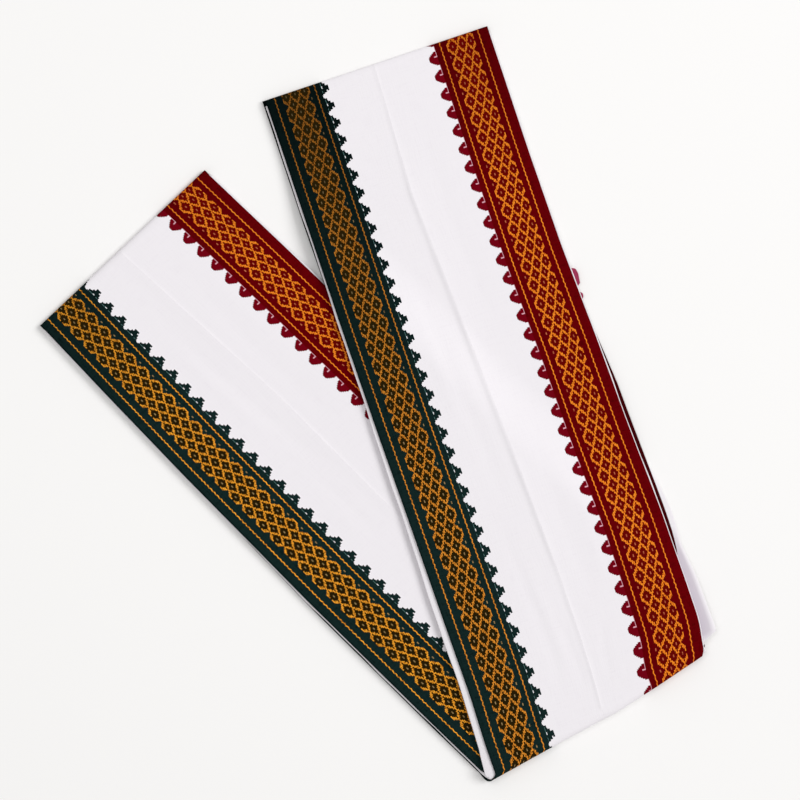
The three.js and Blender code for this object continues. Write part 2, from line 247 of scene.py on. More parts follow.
UPPER = Leg(
    corners=((90.0, -283.0), (249.6, -186.9), (-86.5, 233.1), (84.2, 290.4)),
    edges=UPPER_EDGES, under=UPPER_UNDER, centre=UPPER_CREASE, creases=UPPER_CREASES,
)
LOWER = Leg(
    corners=((79.4, -282.8), (248.1, -188.4), (-259.6, 60.1), (-133.5, 179.3)),
    edges=LOWER_EDGES, under=LOWER_UNDER, centre=LOWER_CREASE, creases=LOWER_CREASES,
)


def rest_height(leg, places):
    """Height of what a leg lies on: the surface, or the lower leg and the slope beside it."""
    if leg is LOWER:
        return np.zeros(len(places))
    run = unit(LOWER.end_right - LOWER.fold_right)
    offset = places - LOWER.fold_right
    beyond = run[1] * offset[:, 0] - run[0] * offset[:, 1] - RAMP_CLEAR
    return LIFT * (1 - smoothstep(beyond, 0, RAMP))


def turned(leg, places, total, radius, from_top, spread_round, spread_below):
    """Points that go round the diagonal fold, for places on a leg past the line where it begins."""
    offset = places - leg.fold_left
    beyond = dot(offset, leg.fold_out)
    angle = np.pi * np.clip(beyond / total, 0, 1)
    angle = angle if from_top else np.pi - angle
    below = spread_below - (leg.drift * total if from_top else 0)
    run = dot(offset, leg.fold_run)
    run = run + below * np.sin(angle / 2) ** 2 + spread_round * np.sin(angle) ** 2
    share = run / np.linalg.norm(leg.fold_right - leg.fold_left)
    return around_fold(share, angle, radius), beyond


def around_fold(share, angle, radius):
    """A point at a share of the fold's length, an angle round it and a radius from its middle."""
    under = (1 - np.cos(angle)) / 2
    upper = UPPER.fold_left + (UPPER.fold_right - UPPER.fold_left) * share[:, None]
    lower = LOWER.fold_left + (LOWER.fold_right - LOWER.fold_left) * share[:, None]
    swell = read(FOLD_SWELL, "reach", np.clip(share, 0, 1))
    out = (swell - MIDDLE + radius) * np.sin(angle)
    flat = upper + (lower - upper) * under[:, None] + UPPER.fold_out * out[:, None]
    return np.column_stack((flat, MIDDLE + radius * np.cos(angle)))


def centre_crease(leg, along, away, side):
    """Height of the cloth beside the centre crease, at a distance from it."""
    ridge, green_run, maroon_run, step = (
        np.interp(along, leg.centre["along"], leg.centre[name])
        for name in ("ridge", "green_run", "maroon_run", "step"))
    ridge = ridge * (1 + CREASE_UNEVEN * np.sin(41 * along) * np.sin(17 * along + 1))
    if side == "green":
        return ridge * np.exp(-(away / green_run) ** 2)
    return ridge * np.exp(-away / maroon_run) + step * np.exp(-away / STEP_RUN)


def soft_creases(leg, along, across):
    """Height of the listed creases and of the cloth's slow waves."""
    height = 0.10 * np.sin(9.0 * along + 4.0 * across) * np.sin(7.3 * across + 1.0)
    height += 0.07 * np.sin(23.0 * along - 9.0 * across + 0.6)
    columns = leg.creases
    width = np.linalg.norm(leg.end_right - leg.end_left)
    for start_a, start_x, end_a, end_x, rise, spread in zip(*columns.values()):
        run = np.array(((end_a - start_a) * leg.length, (end_x - start_x) * width))
        length = np.linalg.norm(run)
        offset = np.column_stack(((along - start_a) * leg.length, (across - start_x) * width))
        share = dot(offset, run) / length ** 2
        away = (run[0] * offset[:, 1] - run[1] * offset[:, 0]) / length
        away = away + CREASE_WANDER * np.sin(5.0 * share + 9.0 * start_x)
        fade = smoothstep(share, 0, 0.3) * (1 - smoothstep(share, 0.6, 1))
        height += rise * fade * np.exp(-(away / spread) ** 2)
    return height


# ---- The weave ----------------------------------------------------------------------------------
# A chart has a letter for each thread group along one repeat, and a line for each row across the
# border, from the selvedge inwards:
#   .  border ground       ,  ground inside the lattice    g  gold figure    d  pale dot
#   w  white cotton        t  tooth                        p  pale line

LETTERS = ".,gdwtp"
REPEAT = 16              # thread groups along one repeat

LATTICE_HEAD = (
    "...gggg,,gggg...",
    "..ggg,,,,,,ggg..",
    ".ggg,,,,,,,,ggg.",
    "gg,,,,,dd,,,,,gg",
)
LATTICE = (
    ",ggg,,,,,,,,ggg,",
    ",,ggg,,,,,,ggg,,",
    ",,,,ggg,,ggg,,,,",
    "d,,,,,gggg,,,,,d",
    ",,,,ggg,,ggg,,,,",
    ",,ggg,,,,,,ggg,,",
    ",ggg,,,,,,,,ggg,",
    "gg,,,,,dd,,,,,gg",
)
LATTICE_FOOT = (
    ".ggg,,,,,,,,ggg.",
    "..ggg,,,,,,ggg..",
    "....ggg,,ggg....",
    "d....gggggg....d",
)
FIGURES = (*LATTICE_HEAD, *LATTICE * 2, *LATTICE_FOOT)

# Each line of teeth has its thickness across the border, in millimetres.
GREEN_TEETH = (
    (0.60, "w..............w"),
    (0.30, "ww.pppppp..pp.ww"),
    (0.50, "ww.....ww.....ww"),
    (0.90, "ww............ww"),
    (0.45, "wwww.........www"),
    (1.45, "wwwww........www"),
    (0.75, "wwwwwww....wwwww"),
    (1.40, "wwwwwww.....wwww"),
)
MAROON_TEETH = (
    (0.40, "ppppppptttttttpp"),
    (1.30, "wwttttptttttttww"),
    (0.85, "wwttttptttttttww"),
    (1.40, "wwwttttttttttwww"),
    (1.25, "wwwwttttttttwwww"),
    (1.10, "wwwwwttttttwwwww"),
    (0.70, "wwwwwwttttwwwwww"),
)

# Where each band of a border begins, from the selvedge, and where the lattice's flowers lie.
BORDERS = {
    "green": {
        "line": 7.4, "line_thick": 1.0, "inner_line": 40.3, "solid_to": 44.4,
        "rows": (0, 3.5, 7.5, 11.5, 15.5, 19.5, 24),
        "places": (13.1, 16.45, 20.1, 23.9, 27.8, 31.6, 35.9),
        "teeth": GREEN_TEETH,
    },
    "maroon": {
        "line": 8.2, "line_thick": 0.95, "inner_line": 40.4, "solid_to": 45.3,
        "rows": (0, 3.5, 7.5, 11.5, 15.5, 19.5, 24),
        "places": (12.9, 16.0, 19.5, 22.9, 26.9, 31.1, 35.8),
        "teeth": MAROON_TEETH,
    },
}
FIELD_FROM = 53.0        # where the plain white field begins
HALF_WIDTH = 92.0        # selvedge to centre crease, as woven
FIELD_ROWS = 9
NEAR_CREASE = (82, 84, 85.6, 87, 88.2, 89.2, 90, 90.6, 91, 91.3, 91.6, 91.85, 92, 93.4)
BORDER_SCALE = {         # spread of a border at the far end, in the middle, and at the fold
    ("upper", "green"): (0.975, 1.0, 1.045),
    ("upper", "maroon"): (0.965, 0.995, 1.045),
    ("lower", "green"): (1.01, 1.027, 1.05),
    ("lower", "maroon"): (0.97, 0.985, 1.0),
}
TWIST = 0.32             # how far the gold lines weave to and fro
WEFT_LEAN = 0.035        # the selvedges lag a little behind, so wefts lean across a border
LEAN_FROM = 48           # where in the cloth they don't lean
LEAN_EASE = (4, 40)      # run at the far end over which the lean begins
SPARE_CLOTH = 120        # woven past a leg's length, and cut off past the fold
GOLD_RELIEF = 0.13
WEFT_REPEATS = {         # length of a repeat at the far end, in the middle, and at the fold
    ("upper", "green"): (13.8, 16.0, 17.6),
    ("upper", "maroon"): (14.4, 15.9, 17.4),
    ("lower", "green"): (14.0, 15.6, 17.2),
    ("lower", "maroon"): (14.8, 15.1, 15.2),
}
FIRST_GROUP = {("upper", "green"): 1, ("upper", "maroon"): 10, ("lower", "green"): 10,
               ("lower", "maroon"): 6}
FLOWER_LEAD = {"green": 2, "maroon": 5}     # groups by which the flowers lie ahead of the teeth


def weave_rows(side):
    """A half's distances from the selvedge, with the chart line and the twist at each.

    The last value says where the teeth begin.
    """
    border = BORDERS[side]
    half = border["line_thick"] / 2
    plain, line = "." * REPEAT, "g" * REPEAT
    lattice = [np.interp(row, border["rows"], border["places"]) for row in range(25)]
    steps = np.cumsum([0, *(step for step, _ in border["teeth"])]) + border["solid_to"]
    white = "w" * REPEAT
    rows = [(-SELVEDGE_DROP, plain, 0), (0.0, plain, 0), (2.2, plain, 0), (4.4, plain, 0)]
    rows += [(border["line"] - half, line, 1), (border["line"] + half, plain, 1), (10.6, plain, 0)]
    rows += [(place, figure, 0) for place, figure in zip(lattice, FIGURES)]
    rows += [(lattice[-1], plain, 0), (lattice[-1] + 1.8, plain, 0)]
    rows += [(border["inner_line"] - half, line, 1), (border["inner_line"] + half, plain, 1)]
    rows += [(border["inner_line"] + 2.4, plain, 0)]
    teeth_from = len(rows)
    rows += [(place, figure, 0) for place, (_, figure) in zip(steps, border["teeth"])]
    rows += [(steps[-1], white, 0)]
    field = (*np.linspace(FIELD_FROM, 80, FIELD_ROWS), *NEAR_CREASE)
    rows += [(place, white, 0) for place in field]
    places, figures, twists = zip(*rows)
    return np.array(places), figures[:-1], np.array(twists), teeth_from


def weft_stations(leg_name, side, until):
    """Distances along the cloth from a leg's far end, one thread group apart."""
    repeats = WEFT_REPEATS[leg_name, side]
    stations = [0.0]
    while stations[-1] < until:
        repeat = np.interp(stations[-1] / until, (0, 0.5, 1), repeats)
        stations.append(stations[-1] + repeat / REPEAT)
    return np.array(stations)


END_DROP = (LEG_HEIGHT - GAP) / 2
END_ARC = math.pi / 2 * math.sqrt((END_RUN ** 2 + END_DROP ** 2) / 2)


class Half:
    """One half of a leg's face or back: from its selvedge to the centre crease."""

    def __init__(self, leg, leg_name, side, layer):
        self.leg, self.leg_name, self.side, self.layer = leg, leg_name, side, layer
        self.up = 1 if layer == "face" else -1
        self.spread = BORDER_SCALE[leg_name, side]

    def edge(self, depth):
        """Where the selvedge lies. A back reaches a little past its face."""
        name = "left" if self.side == "green" else "right"
        edge = self.leg.guide(name, depth)
        if self.layer == "back":
            sign = -1 if self.side == "green" else 1
            edge = edge + sign * read(self.leg.under, f"{name}_back", self.leg.along_at(depth))
        return edge

    def flat(self, station, woven):
        """(depth, distance across) of cloth places, as if a half's edges weren't rolled."""
        lean = WEFT_LEAN * (np.clip(woven, 0, FIELD_FROM) - LEAN_FROM)
        lean = lean * smoothstep(station, *LEAN_EASE)
        depth = station - END_ARC + END_RUN - lean
        edge, crease = self.edge(depth), self.leg.guide("crease", depth)
        width = np.abs(crease - edge)
        slack = np.interp(1 - self.leg.along_at(depth), (0, 0.5, 1), self.spread)
        field = (woven - FIELD_FROM) / (HALF_WIDTH - FIELD_FROM)
        across_field = FIELD_FROM * slack + field * (width - CREASE_GAP - FIELD_FROM * slack)
        across = np.where(woven < FIELD_FROM, woven * slack, across_field)
        across = np.where(woven > HALF_WIDTH, width - CREASE_GAP + woven - HALF_WIDTH, across)
        return depth, edge + (across if self.side == "green" else -across)

    def laid(self, station, woven, lift):
        """Points of the cloth as it lies, raised by lift off its own surface."""
        leg, up = self.leg, self.up
        depth, across = self.flat(station, woven)
        bend = np.pi / 2 * np.clip(1 - station / END_ARC, 0, 1)
        depth = np.where(bend > 0, END_RUN * (1 - np.sin(bend)), depth)
        edge, crease = self.edge(depth), leg.guide("crease", depth)
        inward = 1 if self.side == "green" else -1
        drop = END_DROP * (1 - np.cos(bend))

        over = np.clip(-woven, 0, SELVEDGE_DROP)
        leaning = edge + inward * SELVEDGE_LEAN * (SELVEDGE_DROP - over)
        across = np.where(woven < 0, leaning, across)
        folded_edge = crease - inward * CREASE_GAP
        arc = np.maximum(inward * (across - folded_edge) + CREASE_ROLL * math.sin(CREASE_BEND), 0)
        roll = np.minimum(arc / CREASE_ROLL, CREASE_BEND)
        rolled = folded_edge - inward * CREASE_ROLL * (math.sin(CREASE_BEND) - np.sin(roll))
        across = np.where(arc > 0, rolled, across)
        flap = FLAP_SLOPE * np.maximum(arc - CREASE_ROLL * CREASE_BEND, 0)
        drop = drop + over + CREASE_ROLL * (1 - np.cos(roll)) + flap

        places = leg.place(depth, across)
        along = leg.along_at(depth)
        left, right = leg.guide("left", depth), leg.guide("right", depth)
        share = (across - left) / (right - left)
        level = rest_height(leg, leg.place(depth, np.clip(across, left, right)))
        if up > 0:
            lies = centre_crease(leg, along, np.abs(across - crease), self.side)
            lies = lies + soft_creases(leg, along, share)
            height = LEG_HEIGHT - drop + lies * np.cos(bend) + lift
        else:
            height = drop
        points = np.column_stack((places, level + height))
        return self.round_the_fold(points, places, drop, lift, woven)

    def round_the_fold(self, points, places, drop, lift, woven):
        """Turns what lies past the diagonal fold's line round the fold."""
        leg = self.leg
        outer = leg is UPPER
        total, radius = (OUTER_TURN, MIDDLE) if outer else (INNER_TURN, GAP / 2)
        over = np.clip(drop, 0, PANEL)
        turned_radius = radius - over + lift if outer else radius + over - lift
        near = np.clip(1 - woven / FIELD_FROM, 0, 1) if outer else 0
        round_points, beyond = turned(leg, places, total, turned_radius, outer,
                                      REACH_ROUND[self.side] * near, REACH_BELOW[self.side] * near)
        return np.where((beyond > 0)[:, None], round_points, points)


def weave(half, name, cloth_end):
    """The woven sheet of one half, laid in place. cloth_end of it goes past the fold's line."""
    leg = half.leg
    places, figures, twists, teeth_from = weave_rows(half.side)
    stations = weft_stations(half.leg_name, half.side, leg.length + SPARE_CLOTH)
    first = FIRST_GROUP[half.leg_name, half.side]
    grid = bmesh.new()
    columns, rows = len(stations) - 1, len(places) - 1
    bmesh.ops.create_grid(grid, x_segments=columns, y_segments=rows, size=1.0)
    cloth = grid.loops.layers.uv.new("cloth")
    groups = grid.loops.layers.uv.new("groups")

    vertices = list(grid.verts)
    index = np.array([((v.co.x + 1) / 2 * columns, (v.co.y + 1) / 2 * rows) for v in vertices])
    index = index.round().astype(int)
    station, woven = stations[index[:, 0]], places[index[:, 1]].copy()
    woven += TWIST * twists[index[:, 1]] * np.sin(index[:, 0] * np.pi / 2)
    depth, across = half.flat(station, woven)
    flat = leg.place(depth, across)
    for vertex, (x, y), (i, j), s, w in zip(vertices, flat, index, station, woven):
        vertex.co = (x, y, 0)
        for loop in vertex.link_loops:
            loop[cloth].uv = (s * MM, w * MM)
            loop[groups].uv = (i, j)
    for face in grid.faces:
        corners = [index[v.index] for v in face.verts]
        i, j = min(c[0] for c in corners), min(c[1] for c in corners)
        lead = 0 if j >= teeth_from else FLOWER_LEAD[half.side]
        face.material_index = LETTERS.index(figures[j][(i + first + lead) % REPEAT])
        face.smooth = True

    cut = leg.fold_left + leg.fold_out * cloth_end
    bmesh.ops.bisect_plane(
        grid, geom=[*grid.verts, *grid.edges, *grid.faces], dist=1e-4, clear_outer=True,
        plane_co=(*cut, 0), plane_no=(*leg.fold_out, 0))
    read_back = {v: v.link_loops[0][cloth].uv / MM for v in grid.verts if v.link_loops}
    station = np.array([read_back[v].x for v in grid.verts])
    woven = np.array([read_back[v].y for v in grid.verts])
    gold = LETTERS.index("g")
    lift = np.array([sum(f.material_index == gold for f in v.link_faces) / len(v.link_faces)
                     for v in grid.verts]) * GOLD_RELIEF
    points = half.laid(station, woven, lift) * MM
    for vertex, point in zip(grid.verts, points):
        vertex.co = point
    grid.normal_update()
    if sum(face.normal.z for face in grid.faces) * half.up < 0:
        bmesh.ops.reverse_faces(grid, faces=grid.faces[:])
    return finished(grid, name, FINISHES[half.leg_name, half.side])


def finished(grid, name, materials):
    """Makes an object of a bmesh and rides it on the part."""
    mesh = bpy.data.meshes.new(name)
    grid.to_mesh(mesh)
    grid.free()
    for material in materials:
        mesh.materials.append(material)
    piece = bpy.data.objects.new(name, mesh)
    bpy.context.scene.collection.objects.link(piece)
    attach(piece, "root")
    return piece


# ---- Materials ----------------------------------------------------------------------------------

class Finish:
    """A cloth finish, with short ways to add and join its nodes."""

    def __init__(self, name, colour, roughness):
        self.material = bpy.data.materials.new(name)
        self.material.use_nodes = True
        self.tree = self.material.node_tree
        self.shader = self.tree.nodes["Principled BSDF"]
        self.shader.inputs["Base Color"].default_value = (*colour, 1)
        self.shader.inputs["Roughness"].default_value = roughness
        self.cloth = self.node("UVMap", uv_map="cloth").outputs["UV"]

    def node(self, kind, inputs=(), **settings):
        node = self.tree.nodes.new("ShaderNode" + kind)
        for name, value in settings.items():
            setattr(node, name, value)
        for name, value in dict(inputs).items():
            if isinstance(value, bpy.types.NodeSocket):
                self.tree.links.new(value, node.inputs[name])
            else:
                node.inputs[name].default_value = value
        return node

    def math(self, operation, first, second=0.0):
        node = self.node("Math", operation=operation)
        for socket, value in zip(node.inputs, (first, second)):
            if isinstance(value, bpy.types.NodeSocket):
                self.tree.links.new(value, socket)
            else:
                socket.default_value = value
        return node.outputs[0]

    def threads(self, pitch):
        """A plain weave: thread tops in a chequer, one pitch apart both ways."""
        split = self.node("SeparateXYZ", {"Vector": self.cloth})
        turns = 2 * math.pi / (2 * pitch * MM)
        warp = self.math("SINE", self.math("MULTIPLY", split.outputs["X"], turns))
        weft = self.math("SINE", self.math("MULTIPLY", split.outputs["Y"], turns))
        return self.math("MULTIPLY", warp, weft)

    def slubs(self, along, across, scale=1.0, detail=3.0):
        """Noise drawn out along one way of the cloth."""
        stretched = self.node("Mapping", {"Vector": self.cloth, "Scale": (along, across, 1.0)})
        return self.node("TexNoise", {"Vector": stretched.outputs["Vector"], "Scale": scale,
                                      "Detail": detail}).outputs["Fac"]

    def ramp(self, value, dark, light, low=0.3, high=0.7):
        ramp = self.node("ValToRGB", {"Fac": value})
        ramp.color_ramp.elements[0].position, ramp.color_ramp.elements[1].position = low, high
        ramp.color_ramp.elements[0].color = (*dark, 1)
        ramp.color_ramp.elements[1].color = (*light, 1)
        return ramp.outputs["Color"]

    def colour(self, socket):
        self.tree.links.new(socket, self.shader.inputs["Base Color"])

    def painted_shade_towards_end(self, colour, end_shade):
        """A colour painted darker towards a leg's far end: painted shade. end_shade is its share
        there, and the run.
        """
        along = self.node("SeparateXYZ", {"Vector": self.cloth}).outputs["X"]
        share = self.node("MapRange", {"Value": along, "From Max": end_shade[1],
                                       "To Min": end_shade[0]})
        return self.node("VectorMath", {0: colour, 1: share.outputs["Result"]},
                         operation="MULTIPLY").outputs["Vector"]

    def bump(self, height, distance, strength=1.0):
        bump = self.node("Bump", {"Height": height, "Distance": distance * MM,
                                  "Strength": strength})
        self.tree.links.new(bump.outputs["Normal"], self.shader.inputs["Normal"])

    def set(self, **values):
        for name, value in values.items():
            self.shader.inputs[name.replace("_", " ")].default_value = value


def cotton_finish(name, painted_tone_below=None):
    """White cotton. Over a border its tone goes towards painted_tone_below, by the share in
    shade_and_border_below: painted shade, with the tone of the border under the cloth.
    """
    finish = Finish(name, (0.85, 0.82, 0.855), 0.9)
    slub = finish.math("ADD", finish.slubs(900, 60), finish.slubs(60, 900))
    white = finish.ramp(slub, (0.842, 0.807, 0.841), (0.862, 0.83, 0.86), 0.7, 1.3)
    if painted_tone_below:
        share = finish.node("Attribute", attribute_name="shade_and_border_below").outputs["Fac"]
        white = finish.node("MixRGB", {"Fac": share, "Color1": white,
                                       "Color2": (*painted_tone_below, 1)}).outputs["Color"]
    finish.colour(white)
    height = finish.math("ADD", finish.math("MULTIPLY", finish.threads(0.45), 0.5), slub)
    finish.bump(height, 0.12, 0.5)
    finish.set(Sheen_Weight=0.05, Sheen_Roughness=0.4, Specular_IOR_Level=0.1)
    return finish.material


def ground_finish(name, dark, light, end_shade):
    finish = Finish(name, light, 0.8)
    slub = finish.math("ADD", finish.slubs(1100, 120), finish.slubs(120, 1100))
    # The ground is painted darker towards the far end: painted shade.
    finish.colour(finish.painted_shade_towards_end(finish.ramp(slub, dark, light, 0.75, 1.25), end_shade))
    height = finish.math("ADD", finish.threads(0.5), slub)
    finish.bump(height, 0.15, 0.6)
    finish.set(Specular_IOR_Level=0.01)
    return finish.material


def figure_finish(name, ground, dark, light, end_shade):
    """Figure threads that float along each row, with a little of the ground between the rows."""
    finish = Finish(name, light, 0.5)
    groups = finish.node("UVMap", uv_map="groups").outputs["UV"]
    row = finish.node("SeparateXYZ", {"Vector": groups}).outputs["Y"]
    middle = finish.math("ABSOLUTE", finish.math("SUBTRACT", finish.math("FRACT", row), 0.5))
    between = finish.node("MapRange", {"Value": middle, "From Min": 0.33, "From Max": 0.5},
                          interpolation_type="SMOOTHSTEP").outputs["Result"]
    strand = finish.ramp(finish.slubs(850, 1000, detail=1.0), dark, light, 0.38, 0.56)
    shown = finish.node("MixRGB", {"Fac": between, "Color1": strand, "Color2": (*ground, 1)})
    # The figure is painted darker towards the far end: painted shade.
    finish.colour(finish.painted_shade_towards_end(shown.outputs["Color"], end_shade))
    finish.bump(finish.math("SUBTRACT", finish.slubs(1200, 1200), between), 0.2, 0.6)
    finish.set(Specular_IOR_Level=0.04)
    return finish.material


def plain_finish(name, colour, roughness=0.8):
    finish = Finish(name, colour, roughness)
    finish.bump(finish.threads(0.5), 0.15, 0.6)
    finish.set(Specular_IOR_Level=0.03)
    return finish.material


COTTON = cotton_finish("bleached_cotton")
CRIMSON = plain_finish("crimson_tooth", (0.16, 0.0003, 0.006))
PINK_LINE = plain_finish("pale_pink_line", (0.74, 0.38, 0.45))
GREEN_LINE = plain_finish("pale_green_line", (0.10, 0.20, 0.19))


def green_materials(end_shade, gold, yellow):
    """Materials of a green border, in the order of LETTERS."""
    ground = ground_finish("green_ground", (0.0035, 0.011, 0.0105), (0.007, 0.020, 0.019), end_shade)
    # gold and yellow are set leg by leg: painted sheen and shade on one gold.
    dark, light = (0.34 * gold, 0.10 * gold, 0.004), (1.0 * gold, yellow * gold, 0.030)
    figure = figure_finish("gold_on_green", (0.02, 0.012, 0.001), dark, light, end_shade)
    dot_finish = figure_finish("pale_gold_dot", (0.02, 0.012, 0.001),
                               (0.16, 0.10, 0.04), (0.34, 0.23, 0.10), end_shade)
    inside = plain_finish("green_lattice_ground", (0.018, 0.010, 0.001))
    return [ground, inside, figure, dot_finish, COTTON, ground, GREEN_LINE]


def maroon_materials(end_shade, gold):
    """Materials of a maroon border, in the order of LETTERS."""
    ground = ground_finish("maroon_ground", (0.085, 0.0002, 0.001), (0.125, 0.0003, 0.002), end_shade)
    dark, light = (0.62 * gold, 0.105 * gold, 0.003), (1.0 * gold, 0.30 * gold, 0.020)
    figure = figure_finish("gold_on_maroon", (0.20, 0.012, 0.001), dark, light, end_shade)
    dot_finish = figure_finish("pink_gold_dot", (0.14, 0.002, 0.001),
                               (0.30, 0.05, 0.02), (0.55, 0.14, 0.06), end_shade)
    inside = plain_finish("maroon_lattice_ground", (0.125, 0.0008, 0.0))
    return [ground, inside, figure, dot_finish, COTTON, CRIMSON, PINK_LINE]


# The upper leg's gold is painted a little darker than the lower one's, most of all at its far end:
# painted shade and sheen, set leg by leg for how the light falls along each leg's threads.
FINISHES = {
    ("upper", "green"): green_materials((0.31, 0.34), 0.82, 0.37),
    ("lower", "green"): green_materials((0.68, 0.12), 1.0, 0.41),
    ("upper", "maroon"): maroon_materials((0.70, 0.12), 1.0),
    ("lower", "maroon"): maroon_materials((0.85, 0.08), 1.0),
}


# ---- The visible sheets -------------------------------------------------------------------------

LEGS = {"upper": UPPER, "lower": LOWER}
PAST_FOLD = {("upper", "face"): OUTER_TURN, ("lower", "face"): INNER_TURN,
             ("upper", "back"): 0.0, ("lower", "back"): 0.0}

sheets = []
for leg_name, leg in LEGS.items():
    for layer in ("face", "back"):
        for side in ("green", "maroon"):
            past = PAST_FOLD[leg_name, layer]
            piece = weave(Half(leg, leg_name, side, layer), f"{leg_name}_{layer}_{side}_half", past)
            stretches = (f"{side}_border", f"{side}_side_field")
            stood_for = [f"{leg_name}_{layer}_{stretch}" for stretch in stretches]
            if (leg_name, layer) == ("upper", "face"):
                stood_for += [f"fold_outer_{stretch}" for stretch in stretches]
            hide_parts(*stood_for)
            sheets.append(piece)


# ---- The hidden layers --------------------------------------------------------------------------

LIP_STEPS = 8            # points round a lip
TOP_POINTS = 9           # points over a ring's top, and under it
LEG_RINGS = 130
FOLD_RINGS = 18          # round the diagonal fold, with its two ends
END_CLEAR = 4.5          # how far the last ring stays from a leg's far end
HOLLOW = TOP_POINTS + LIP_STEPS + 2      # where a ring's hollow, inside a flare's edge, begins
HOLLOW_DEPTH = 0.9
# The maroon border lies right under the flare's cloth. Its tone and the hollow's shade are painted
# into the cotton as one tone: painted shade. Share is how much of that tone the hollow takes.
FLARE_HOLLOW_SHADE = table("along share", [(0.004, 0.0), (0.014, 1.0), (0.145, 1.0), (0.185, 0.0)])
TOWARDS_RIM = 0.7        # share of that tone near the flare's rim


def lip(edge, toward, bottom):
    """Half round of one hidden fold, from its top to its bottom. toward is -1 at the left."""
    radius = LIP / 2
    angles = np.linspace(0, np.pi, LIP_STEPS)
    across = edge - toward * radius + toward * radius * np.sin(angles)
    return list(zip(across, bottom + radius + radius * np.cos(angles)))


def pile_ring(width, reach):
    """Outline of the hidden layers across a leg: two folds and a groove at each side.

    Its height grows from the diagonal fold's inside to its outside.
    """
    outer_left, outer_right, inner_left, inner_right = reach
    outer_lip = HIDDEN_PILE - LIP
    dip = HOLLOW_DEPTH * min(max((inner_right - 1) / 8, 0), 1)    # a flaring fold lies hollow
    outside = [(x, HIDDEN_PILE) for x in np.linspace(0, width, TOP_POINTS)]
    inside = [(x, 0.0) for x in np.linspace(width, 0, TOP_POINTS)]
    return np.array([
        *outside,
        *lip(width + outer_right, 1, outer_lip),
        (width - 1, outer_lip),
        (width - LIP_GROOVE, HIDDEN_PILE / 2),
        (width - 1, LIP - dip),
        (width + min(0.62 * inner_right, inner_right - 0.62), LIP),
        *lip(width + inner_right, 1, 0),
        *inside,
        *lip(-inner_left, -1, 0)[::-1],
        (1.5 - inner_left, LIP),
        (LIP_GROOVE - inner_left, HIDDEN_PILE / 2),
        (1.5 - inner_left, outer_lip),
        *lip(-outer_left, -1, outer_lip)[::-1],
    ])


def reaches(leg, along):
    """How far each hidden fold shows beyond the face, with a slight wander of its own."""
    shift = 0.0 if leg is UPPER else 1.7
    wander = 0.22 * math.sin(31 * along + shift) + 0.12 * math.sin(77 * along + 2 * shift)
    left, right, slip = (
        max(float(np.interp(along, columns["along"], columns[name])) + wander, 0.7)
        for name, columns in (("left_fold", leg.edges), ("right_fold", leg.edges),
                              ("right_slip", leg.under)))
    over, under = (left, right), (left * LEFT_SLIP, slip)
    return np.array((*over, *under) if leg is UPPER else (*under, *over))


def ring_places(leg):
    """Where a leg's rings lie, from the fold to the far end."""
    last = 1 - END_CLEAR / leg.length
    return sorted([*np.linspace(0.001, last, LEG_RINGS), 0.004, 0.007, 0.010])


def leg_rings(leg):
    """Rings of a leg's hidden layers, from the fold to the far end."""
    rings = []
    for along in ring_places(leg):
        left, _, right = (points[0] for points in leg.lines(np.array([along])))
        across, width = unit(right - left), np.linalg.norm(right - left)
        ring = pile_ring(width, reaches(leg, along))
        rise = ring[:, 1] if leg is UPPER else HIDDEN_PILE - ring[:, 1]
        inside = np.clip(ring[:, 0], 0, width)
        level = rest_height(leg, left + across * inside[:, None])
        flat = left + across * ring[:, 0][:, None]
        rings.append(np.column_stack((flat, level + PANEL + GAP + rise)))
    return rings


def turned_rings():
    """Rings of the hidden layers round the diagonal fold, from the top to underneath."""
    rings = []
    upper, lower = reaches(UPPER, 0.0), reaches(LOWER, 0.0)
    widths = [np.linalg.norm(leg.fold_right - leg.fold_left) for leg in (UPPER, LOWER)]
    for angle in np.linspace(0, np.pi, FOLD_RINGS)[1:-1]:
        under = (1 - math.cos(angle)) / 2
        width = widths[0] + (widths[1] - widths[0]) * under
        ring = pile_ring(width, upper + (lower - upper) * math.sin(angle / 2) ** 0.7)
        radius = PANEL + 1.5 * GAP + ring[:, 1]
        rings.append(around_fold(ring[:, 0] / width, np.full(len(ring), angle), radius))
    return rings


def hidden_layers():
    """The return panels between faces and backs, through both legs and round the fold."""
    rings = [*leg_rings(UPPER)[::-1], *turned_rings(), *leg_rings(LOWER)]
    around = len(rings[0])
    grid = bmesh.new()
    bmesh.ops.create_grid(grid, x_segments=len(rings) - 1, y_segments=around, size=1.0)
    cloth = grid.loops.layers.uv.new("cloth")
    below = grid.verts.layers.float.new("shade_and_border_below")
    flare = np.interp(ring_places(UPPER)[::-1], FLARE_HOLLOW_SHADE["along"], FLARE_HOLLOW_SHADE["share"])
    for vertex in grid.verts:
        i = round((vertex.co.x + 1) / 2 * (len(rings) - 1))
        j = round((vertex.co.y + 1) / 2 * around) % around
        x, y, z = rings[i][j]
        # Painted shade in the flare's hollow, with the tone of the border under the cloth.
        if i < len(flare):
            vertex[below] = flare[i] * {HOLLOW: 1.0, HOLLOW + 1: TOWARDS_RIM}.get(j, 0.0)
        for loop in vertex.link_loops:
            loop[cloth].uv = (i * 4 * MM, j * 2 * MM)
        vertex.co = (x * MM, y * MM, z * MM)
    bmesh.ops.remove_doubles(grid, verts=grid.verts[:], dist=1e-6)
    open_edges = [edge for edge in grid.edges if edge.is_boundary]
    bmesh.ops.holes_fill(grid, edges=open_edges, sides=0)
    for face in grid.faces:
        face.smooth = True
    bmesh.ops.recalc_face_normals(grid, faces=grid.faces[:])
    cotton = cotton_finish("cotton_with_hollow_shade", painted_tone_below=(0.56, 0.50, 0.57))
    return finished(grid, "return_layers", [cotton])


